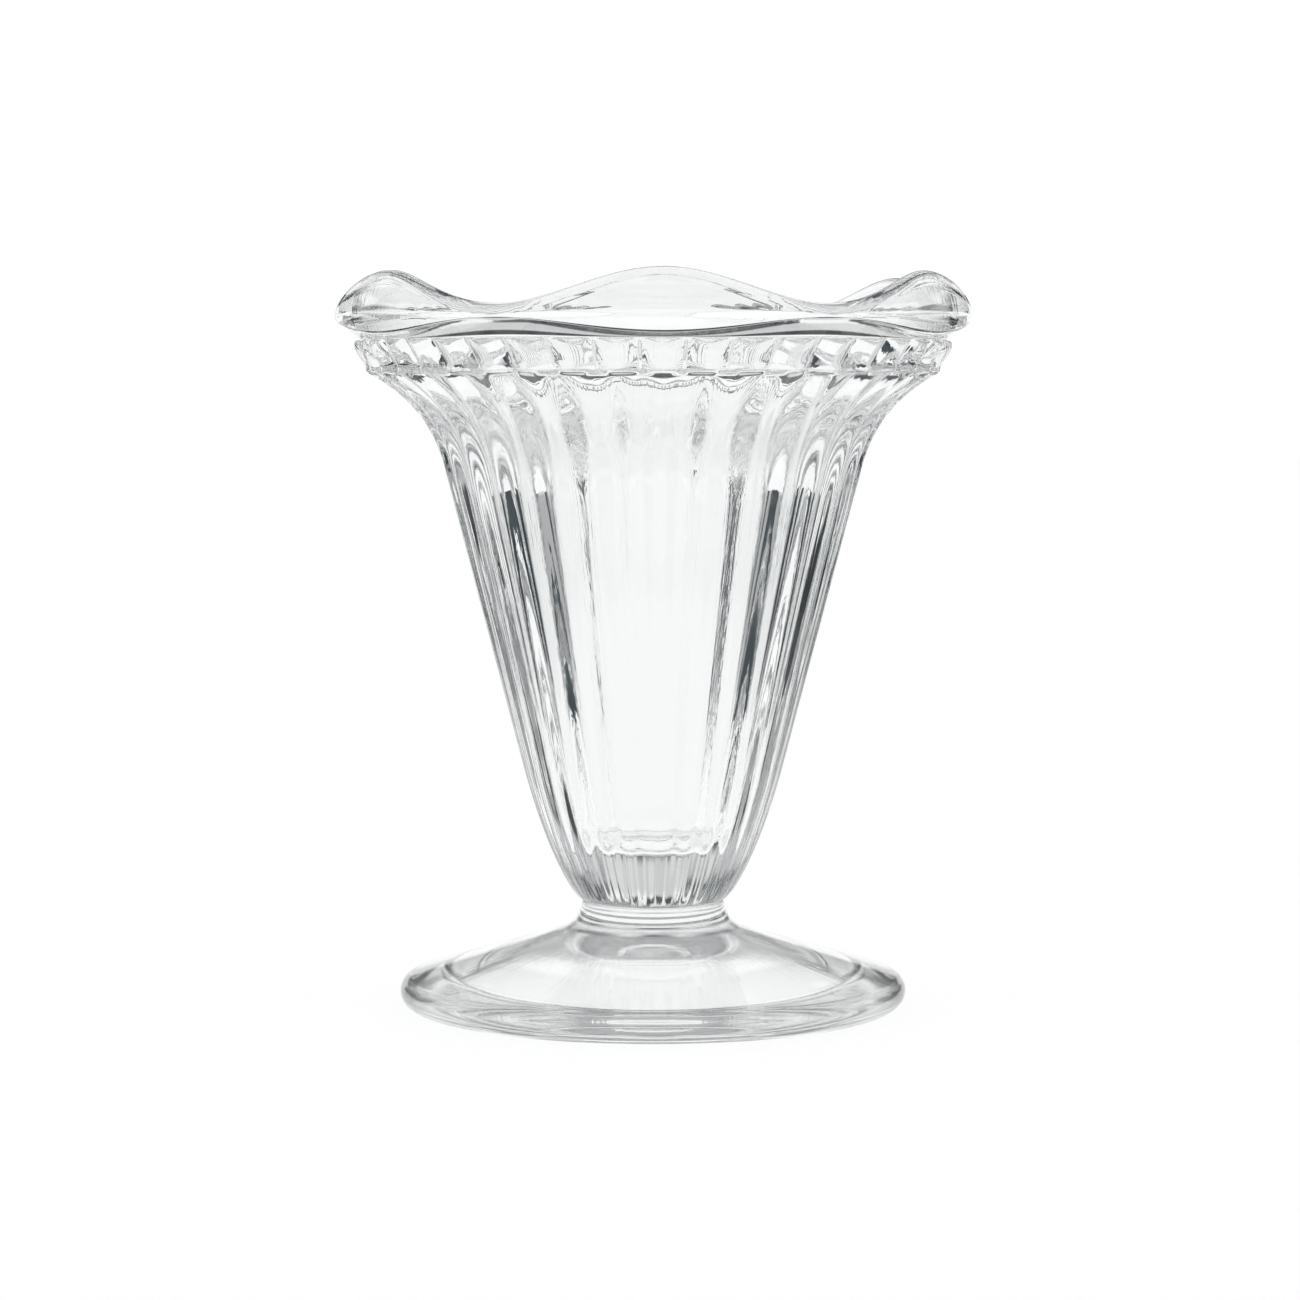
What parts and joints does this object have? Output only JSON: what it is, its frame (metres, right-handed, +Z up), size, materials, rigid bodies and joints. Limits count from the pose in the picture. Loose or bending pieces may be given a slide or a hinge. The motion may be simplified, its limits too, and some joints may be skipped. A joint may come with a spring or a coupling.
{
  "type": "parfait glass",
  "caption": "Footed parfait glass in clear pressed glass: fluted conical bowl, ribbed band, scalloped lip and round foot.",
  "frame": {"origin": "middle of the foot's underside, on the table", "axes": "+Z up along the glass's axis, -Y towards the viewer through the middle of one scallop"},
  "size_m": [0.1048, 0.105, 0.121],
  "materials": {
    "bowl_glass": "clear, fire-polished",
    "foot_glass": "clear, fire-polished"
  },
  "bodies": {
    "root": {"bowl": "bowl_glass", "foot": "foot_glass"}
  },
  "joints": []
}
